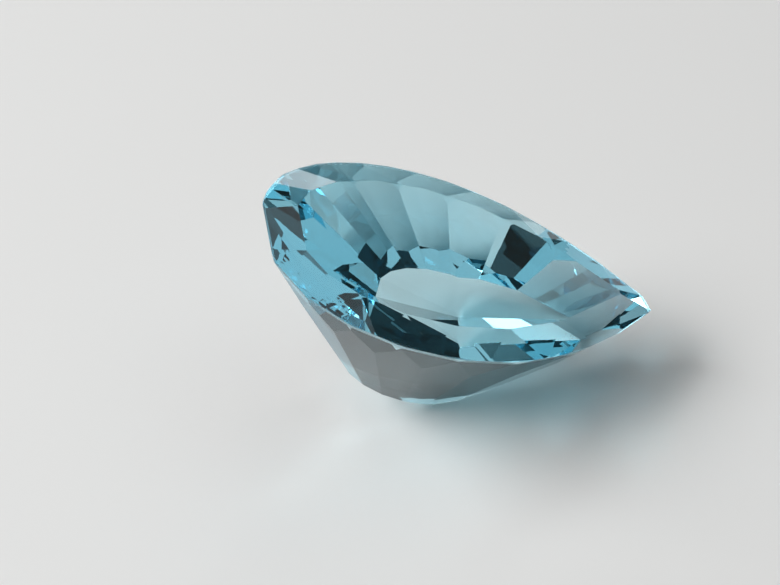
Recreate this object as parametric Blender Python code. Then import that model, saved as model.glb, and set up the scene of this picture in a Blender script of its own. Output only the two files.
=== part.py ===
# Pear cut topaz: one crystal, sawn oversize and ground flat one facet at a time.
# The stone is cut about its own axes (tip towards +X, table facing up, girdle mid-plane at z = 0) and is then
# set down on the pavilion facet it rests on.
from math import cos, pi, radians, sin

import bmesh
import bpy
from mathutils import Matrix, Vector

# girdle outline, metres: x = a(1 - u), y = b u^p (1 - u/2)^q (1 + c(1 - u)), u from 0 at the tip to 2 at the head
LENGTH = 0.0400
OUTLINE_B = 0.01407
OUTLINE_P = 0.885
OUTLINE_Q = 0.375
OUTLINE_C = 0.248
GIRDLE_THICKNESS = 0.00049

# facet index: sixteen corner facets and sixteen between them, set out along half the girth from the tip
CORNERS_PER_SIDE = 8
FIRST_CORNER = 0.107
FIRST_STEP = 0.154
LAST_STEP = 0.077

# crown: table height above the girdle and the angles of the two sets of facets
CROWN_HEIGHT = 0.00095
CROWN_BEZEL_ANGLE = 17.0
CROWN_TIP_ANGLE = 15.0
CROWN_KITE_ANGLE = 18.8

# pavilion: culet place and depth, then the four breaks of its profile from the girdle down, each as
# (share of the way out, share of the depth), and how far the corner rows sit out from the profile
CULET_X = 0.00435
PAVILION_DEPTH = 0.01541
BREAK_1 = (0.914, 0.179)
BREAK_2 = (0.724, 0.468)
BREAK_3 = (0.626, 0.649)
BREAK_4 = (0.427, 0.882)
CORNER_SHIFT = -0.040
KEEL_SHIFT = -0.019

# the two large facets beside the keel; the stone rests on the one on its -Y side
REST_SLOPE = 29.78
REST_AZIMUTH = 30.20
REST_DISTANCE = 0.01456

# the stone's own surface
TOPAZ_IOR = 1.62


def clear_scene():
    for ob in list(bpy.data.objects):
        bpy.data.objects.remove(ob, do_unlink=True)


class Girdle:
    """The girdle outline, walked by share of its girth from the tip."""

    def __init__(self, count=600):
        a = LENGTH / 2
        side = []
        for i in range(count + 1):
            u = 1 - cos(pi * i / count)
            y = OUTLINE_B * u ** OUTLINE_P * max(1 - u / 2, 0) ** OUTLINE_Q * (1 + OUTLINE_C * (1 - u))
            side.append(Vector((a * (1 - u), y)))
        self.points = side + [Vector((p.x, -p.y)) for p in side[-2:0:-1]] + [side[0]]
        self.walk = [0.0]
        for p, q in zip(self.points, self.points[1:]):
            self.walk.append(self.walk[-1] + (q - p).length)

    def at(self, share):
        """Contact point and outward normal at a share of the girth."""
        goal = (share % 1.0) * self.walk[-1]
        i = 0
        while self.walk[i + 1] < goal:
            i += 1
        p, q = self.points[i], self.points[i + 1]
        d = (q - p).normalized()
        return p.lerp(q, (goal - self.walk[i]) / (self.walk[i + 1] - self.walk[i])), Vector((d.y, -d.x))


def index_stations():
    """Shares of the girth of the corner facets and of those between them, both sides of the stone."""
    steps = CORNERS_PER_SIDE - 1
    half = [FIRST_CORNER]
    for i in range(steps):
        half.append(half[-1] + FIRST_STEP + (LAST_STEP - FIRST_STEP) * i / (steps - 1))
    mids = [(a + b) / 2 for a, b in zip(half, half[1:])]
    corners = [h / 2 for h in half] + [1 - h / 2 for h in half]
    between = [m / 2 for m in mids] + [1 - m / 2 for m in mids]
    return sorted(corners), sorted([0.0, 0.5] + between)


class Stone:
    """A rough block that facets are ground onto."""

    def __init__(self):
        self.bm = bmesh.new()
        bmesh.ops.create_cube(self.bm, size=LENGTH * 1.6)

    def grind(self, normal, distance):
        """Grind a facet with this outward normal at this distance from the middle of the stone."""
        normal = Vector(normal).normalized()
        bm = self.bm
        geom = bm.verts[:] + bm.edges[:] + bm.faces[:]
        bmesh.ops.bisect_plane(bm, geom=geom, dist=1e-7, plane_co=normal * distance, plane_no=normal,
                               clear_outer=True)
        rim = [e for e in bm.edges if e.is_boundary]
        if rim:
            bmesh.ops.holes_fill(bm, edges=rim, sides=len(rim))

    def grind_wall(self, girdle, share):
        p, n = girdle.at(share)
        self.grind((n.x, n.y, 0), n.dot(p))

    def grind_pavilion(self, girdle, share, outer, inner):
        """A facet through two breaks of the profile, each (share of the way out, share of the depth)."""
        p, n = girdle.at(share)
        culet = Vector((CULET_X, 0))
        reach = n.dot(p - culet)
        det = outer[0] * inner[1] - inner[0] * outer[1]
        across = (inner[1] - outer[1]) / det / reach
        down = (outer[0] - inner[0]) / det / PAVILION_DEPTH
        normal = Vector((across * n.x, across * n.y, -down))
        limit = 1 + across * n.dot(culet) + down * GIRDLE_THICKNESS / 2
        self.grind(normal, limit / normal.length)

    def grind_crown(self, girdle, share, angle):
        p, n = girdle.at(share)
        t = radians(angle)
        self.grind((sin(t) * n.x, sin(t) * n.y, cos(t)), sin(t) * n.dot(p) + cos(t) * GIRDLE_THICKNESS / 2)


def table_corner(girdle, first, second, angles):
    """Where two neighbouring crown facets and the table meet, seen from above."""
    rows = []
    for share, angle in zip((first, second), angles):
        p, n = girdle.at(share)
        rows.append((n, n.dot(p) - CROWN_HEIGHT / (sin(radians(angle)) / cos(radians(angle)))))
    (n1, d1), (n2, d2) = rows
    det = n1.x * n2.y - n1.y * n2.x
    return Vector(((d1 * n2.y - d2 * n1.y) / det, (n1.x * d2 - n2.x * d1) / det))


def moved(point, outwards):
    """A point of the pavilion's profile, moved outwards."""
    return point[0] + outwards, point[1]


def cut_stone():
    stone = Stone()
    girdle = Girdle()
    corners, between = index_stations()

    for share in corners + between:
        stone.grind_wall(girdle, share)

    # pavilion: five rows of facets laid like bricks, from the steep row under the girdle down to the keel
    for share in between:
        stone.grind_pavilion(girdle, share, (1, 0), BREAK_1)
    for share in corners:
        stone.grind_pavilion(girdle, share, moved(BREAK_1, CORNER_SHIFT), moved(BREAK_2, CORNER_SHIFT))
    for share in between:
        stone.grind_pavilion(girdle, share, BREAK_2, BREAK_3)
    for share in corners:
        stone.grind_pavilion(girdle, share, BREAK_3, BREAK_4)
    for share in between:
        stone.grind_pavilion(girdle, share, BREAK_4, (0, 1))
    for share in corners:
        stone.grind_pavilion(girdle, share, moved(BREAK_4, KEEL_SHIFT), (KEEL_SHIFT, 1))
    for side in (1, -1):
        s, t = radians(REST_SLOPE), radians(REST_AZIMUTH)
        stone.grind((sin(s) * cos(t), side * sin(s) * sin(t), -cos(s)), REST_DISTANCE)

    # crown: the table, a wide facet at every table edge, a small kite at every table corner
    stone.grind((0, 0, 1), CROWN_HEIGHT + GIRDLE_THICKNESS / 2)
    angles = [CROWN_TIP_ANGLE if share == 0 else CROWN_BEZEL_ANGLE for share in between]
    for share, angle in zip(between, angles):
        stone.grind_crown(girdle, share, angle)
    count = len(between)
    for i, share in enumerate(corners):
        j = (i + 1) % count
        corner = table_corner(girdle, between[i], between[j], (angles[i], angles[j]))
        n = girdle.at(share)[1]
        t = radians(CROWN_KITE_ANGLE)
        top = CROWN_HEIGHT + GIRDLE_THICKNESS / 2
        stone.grind((sin(t) * n.x, sin(t) * n.y, cos(t)), sin(t) * n.dot(corner) + cos(t) * top)
    return stone.bm


def set_down(bm):
    """Turn the stone onto its resting facet, its length along X, and stand it on the ground over the origin."""
    s, t = radians(REST_SLOPE), radians(REST_AZIMUTH)
    up = Vector((-sin(s) * cos(t), sin(s) * sin(t), cos(s)))
    along = Vector((1, 0, 0))
    along = (along - up * along.dot(up)).normalized()
    across = up.cross(along)
    turn = Matrix((along, across, up)).to_4x4()
    bmesh.ops.transform(bm, matrix=turn, verts=bm.verts)
    low = Vector([min(v.co[k] for v in bm.verts) for k in range(3)])
    high = Vector([max(v.co[k] for v in bm.verts) for k in range(3)])
    shift = Vector((-(low.x + high.x) / 2, -(low.y + high.y) / 2, -low.z))
    bmesh.ops.translate(bm, vec=shift, verts=bm.verts)


def topaz_material():
    mat = bpy.data.materials.new("blue_topaz")
    mat.use_nodes = True
    shader = mat.node_tree.nodes["Principled BSDF"]
    shader.inputs["Base Color"].default_value = (0.80, 0.94, 0.97, 1)
    shader.inputs["Roughness"].default_value = 0.0
    shader.inputs["IOR"].default_value = TOPAZ_IOR
    shader.inputs["Transmission Weight"].default_value = 1.0
    return mat


def main():
    clear_scene()
    bm = cut_stone()
    bmesh.ops.remove_doubles(bm, verts=bm.verts, dist=2e-6)
    bmesh.ops.dissolve_degenerate(bm, edges=bm.edges, dist=1e-6)
    set_down(bm)
    bmesh.ops.recalc_face_normals(bm, faces=bm.faces)
    mesh = bpy.data.meshes.new("topaz")
    bm.to_mesh(mesh)
    bm.free()
    mesh.materials.append(topaz_material())
    topaz = bpy.data.objects.new("topaz", mesh)
    group = bpy.data.collections.new("topaz gemstone")
    bpy.context.scene.collection.children.link(group)
    group.objects.link(topaz)


main()
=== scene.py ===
from math import cos, pi, radians, sin, tan

import bmesh
import bpy
from mathutils import Matrix, Vector


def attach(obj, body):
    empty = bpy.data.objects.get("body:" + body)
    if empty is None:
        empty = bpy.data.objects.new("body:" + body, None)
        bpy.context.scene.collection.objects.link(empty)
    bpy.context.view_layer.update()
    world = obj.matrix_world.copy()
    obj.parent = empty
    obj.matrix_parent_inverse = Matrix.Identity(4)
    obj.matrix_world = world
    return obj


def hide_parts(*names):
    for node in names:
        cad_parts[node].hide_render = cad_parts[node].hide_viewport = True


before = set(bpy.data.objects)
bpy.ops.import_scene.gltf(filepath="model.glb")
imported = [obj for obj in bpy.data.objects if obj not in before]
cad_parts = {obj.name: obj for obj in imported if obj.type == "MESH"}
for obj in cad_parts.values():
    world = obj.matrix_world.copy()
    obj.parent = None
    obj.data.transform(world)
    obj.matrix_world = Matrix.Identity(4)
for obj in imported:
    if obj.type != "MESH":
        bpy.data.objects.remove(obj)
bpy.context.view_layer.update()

# --- the cut stone --------------------------------------------------------------------------------
# One crystal of blue topaz, sawn to a pear and ground flat facet by facet on a lap. Crown and
# pavilion are polished to glass. The girdle's narrow edge is left with the satin of the grinding
# wheel. Lengths are in metres.
CROWN_HEIGHT = 0.00095
GIRDLE_THICKNESS = 0.00049
SAME_POINT = 1e-6
SAME_FACET = radians(0.2)
EDGE_WEAR = 0.00003

stone = bpy.data.objects.new("cut_stone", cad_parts["topaz"].data.copy())
bpy.context.scene.collection.objects.link(stone)
facets = bmesh.new()
facets.from_mesh(stone.data)
bmesh.ops.remove_doubles(facets, verts=facets.verts, dist=SAME_POINT)
bmesh.ops.dissolve_limit(facets, angle_limit=SAME_FACET, verts=facets.verts, edges=facets.edges)
# the sharp edges are worn by less than a hair's breadth
bmesh.ops.bevel(facets, geom=facets.edges[:], offset=EDGE_WEAR, affect="EDGES", segments=1,
                profile=0.5, material=-1, clamp_overlap=True)
bmesh.ops.recalc_face_normals(facets, faces=facets.faces)
for face in facets.faces:
    face.smooth = False

# the table is the largest facet: the girdle runs level with it, below the crown
table = max(facets.faces, key=lambda face: face.calc_area())
table_normal = table.normal.copy()
girdle_level = table.verts[0].co.dot(table_normal) - CROWN_HEIGHT - GIRDLE_THICKNESS / 2
facets.to_mesh(stone.data)
facets.free()

# clear blue crystal: red is taken up over a few centimetres, blue hardly at all
TOPAZ_IOR = 1.62
TINT_COLOUR = (0.03, 0.75, 0.91, 1)
TINT_PER_METRE = 30.0
topaz = bpy.data.materials.new("blue_topaz_polished")
topaz.use_nodes = True
nodes = topaz.node_tree.nodes
links = topaz.node_tree.links
crystal = nodes["Principled BSDF"]
crystal.inputs["Base Color"].default_value = (1, 1, 1, 1)
crystal.inputs["IOR"].default_value = TOPAZ_IOR
crystal.inputs["Transmission Weight"].default_value = 1.0
tint = nodes.new("ShaderNodeVolumeAbsorption")
tint.inputs["Color"].default_value = TINT_COLOUR
tint.inputs["Density"].default_value = TINT_PER_METRE
links.new(tint.outputs["Volume"], nodes["Material Output"].inputs["Volume"])

# satin within half the girdle's thickness of its middle plane, polish everywhere else
SATIN_ROUGHNESS = 0.34
SATIN_ENDS = 0.46
POLISH_STARTS = 0.50
place = nodes.new("ShaderNodeTexCoord")
level = nodes.new("ShaderNodeVectorMath")
level.operation = "DOT_PRODUCT"
level.inputs[1].default_value = table_normal
links.new(place.outputs["Object"], level.inputs[0])
above_girdle = nodes.new("ShaderNodeMath")
above_girdle.operation = "SUBTRACT"
above_girdle.inputs[1].default_value = girdle_level
links.new(level.outputs["Value"], above_girdle.inputs[0])
from_girdle = nodes.new("ShaderNodeMath")
from_girdle.operation = "ABSOLUTE"
links.new(above_girdle.outputs["Value"], from_girdle.inputs[0])
satin = nodes.new("ShaderNodeMapRange")
satin.inputs["From Min"].default_value = GIRDLE_THICKNESS * SATIN_ENDS
satin.inputs["From Max"].default_value = GIRDLE_THICKNESS * POLISH_STARTS
satin.inputs["To Min"].default_value = SATIN_ROUGHNESS
satin.inputs["To Max"].default_value = 0.0
links.new(from_girdle.outputs["Value"], satin.inputs["Value"])
links.new(satin.outputs["Result"], crystal.inputs["Roughness"])

# the lap leaves polished facets wavy by a few thousandths of a millimetre over a few millimetres
WAVE_SCALE = 260.0
WAVE_DETAIL = 2.0
WAVE_STRENGTH = 0.05
WAVE_HEIGHT = 0.0001
waves = nodes.new("ShaderNodeTexNoise")
waves.inputs["Scale"].default_value = WAVE_SCALE
waves.inputs["Detail"].default_value = WAVE_DETAIL
links.new(place.outputs["Object"], waves.inputs["Vector"])
lap = nodes.new("ShaderNodeBump")
lap.inputs["Strength"].default_value = WAVE_STRENGTH
lap.inputs["Distance"].default_value = WAVE_HEIGHT
links.new(waves.outputs["Fac"], lap.inputs["Height"])
links.new(lap.outputs["Normal"], crystal.inputs["Normal"])

stone.data.materials.clear()
stone.data.materials.append(topaz)
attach(stone, "root")
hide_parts("topaz")

# --- the camera -----------------------------------------------------------------------------------
# A long lens a quarter of a metre away looks down on the stone's near long side, rolled a little.
# Its own turn is in degrees to the right of +Y. Every other heading is in degrees to the right of
# the way the camera looks, seen from above.
LENS_MM = 131.54
SENSOR_MM = 36
CLIP_START = 0.01
TURN = 15.54
PITCH = 36.6
ROLL = 2.0
DISTANCE = 0.25843
AIM_ACROSS = 0.006559
AIM_UP = 0.002044
STONE_CENTRE = Vector((-0.000011, 0.000041, 0.014560))


def direction(heading, elevation):
    a, e = radians(heading + TURN), radians(elevation)
    return Vector((sin(a) * cos(e), cos(a) * cos(e), sin(e)))


look = direction(0, -PITCH)
across = Vector((look.y, -look.x, 0)).normalized()
over = across.cross(look)
right = across * cos(radians(ROLL)) - over * sin(radians(ROLL))
up = over * cos(radians(ROLL)) + across * sin(radians(ROLL))
camera = bpy.data.objects.new("camera", bpy.data.cameras.new("camera"))
bpy.context.scene.collection.objects.link(camera)
stand = STONE_CENTRE - right * AIM_ACROSS - up * AIM_UP - look * DISTANCE
camera.matrix_world = Matrix.Translation(stand) @ Matrix((right, up, -look)).transposed().to_4x4()
camera.data.lens = LENS_MM
camera.data.sensor_width = SENSOR_MM
camera.data.clip_start = CLIP_START
bpy.context.scene.camera = camera

# --- paper and light ------------------------------------------------------------------------------
# A sheet of smooth white paper in a dim room, lit by a window from the left. The stone lies on the
# tips of the paper's fibres, a hair above its mean level.
PAPER_FIBRES = 0.0001
PAPER_HALF_SIDE = 0.6
PAPER_COLOUR = (0.78, 0.775, 0.76, 1)
PAPER_ROUGHNESS = 0.8
paper_grid = bmesh.new()
bmesh.ops.create_grid(paper_grid, x_segments=1, y_segments=1, size=PAPER_HALF_SIDE)
bmesh.ops.translate(paper_grid, vec=(0, 0, -PAPER_FIBRES), verts=paper_grid.verts)
paper = bpy.data.objects.new("paper", bpy.data.meshes.new("paper"))
paper_grid.to_mesh(paper.data)
paper_grid.free()
bpy.context.scene.collection.objects.link(paper)
white = bpy.data.materials.new("white_paper")
white.use_nodes = True
fibres = white.node_tree.nodes["Principled BSDF"]
fibres.inputs["Base Color"].default_value = PAPER_COLOUR
fibres.inputs["Roughness"].default_value = PAPER_ROUGHNESS
paper.data.materials.append(white)

DAYLIGHT = (0.98, 0.99, 1.0)


def panel(name, heading, elevation, half_width, half_height, radiance):
    """A bright rectangle one metre off: where it stands, half the angles it spans, its radiance."""
    light = bpy.data.lights.new(name, "AREA")
    light.shape = "RECTANGLE"
    light.size = 2 * tan(radians(half_width))
    light.size_y = 2 * tan(radians(half_height))
    light.energy = radiance * pi * light.size * light.size_y
    light.color = DAYLIGHT
    ob = bpy.data.objects.new(name, light)
    ob.location = direction(heading, elevation)
    ob.rotation_euler = (-ob.location).to_track_quat("-Z", "Y").to_euler()
    bpy.context.scene.collection.objects.link(ob)


panel("window", heading=-92, elevation=40, half_width=22, half_height=13, radiance=8.833)
panel("doorway", heading=17, elevation=28, half_width=6, half_height=6, radiance=3.072)
panel("ceiling", heading=0, elevation=90, half_width=40, half_height=40, radiance=0.64)

ROOM_COLOUR = (1.0, 0.97, 0.92, 1)
ROOM_RADIANCE = 0.02
room = bpy.data.worlds.new("dim_room")
bpy.context.scene.world = room
room.use_nodes = True
walls = room.node_tree.nodes["Background"]
walls.inputs["Color"].default_value = ROOM_COLOUR
walls.inputs["Strength"].default_value = ROOM_RADIANCE

# light is thrown about many times inside the stone before it finds a way out
STONE_BOUNCES = 24
GLOSS_BLUR = 0.2
scene = bpy.context.scene
scene.view_settings.view_transform = "Standard"
scene.cycles.max_bounces = STONE_BOUNCES
scene.cycles.glossy_bounces = STONE_BOUNCES
scene.cycles.transmission_bounces = STONE_BOUNCES
scene.cycles.blur_glossy = GLOSS_BLUR
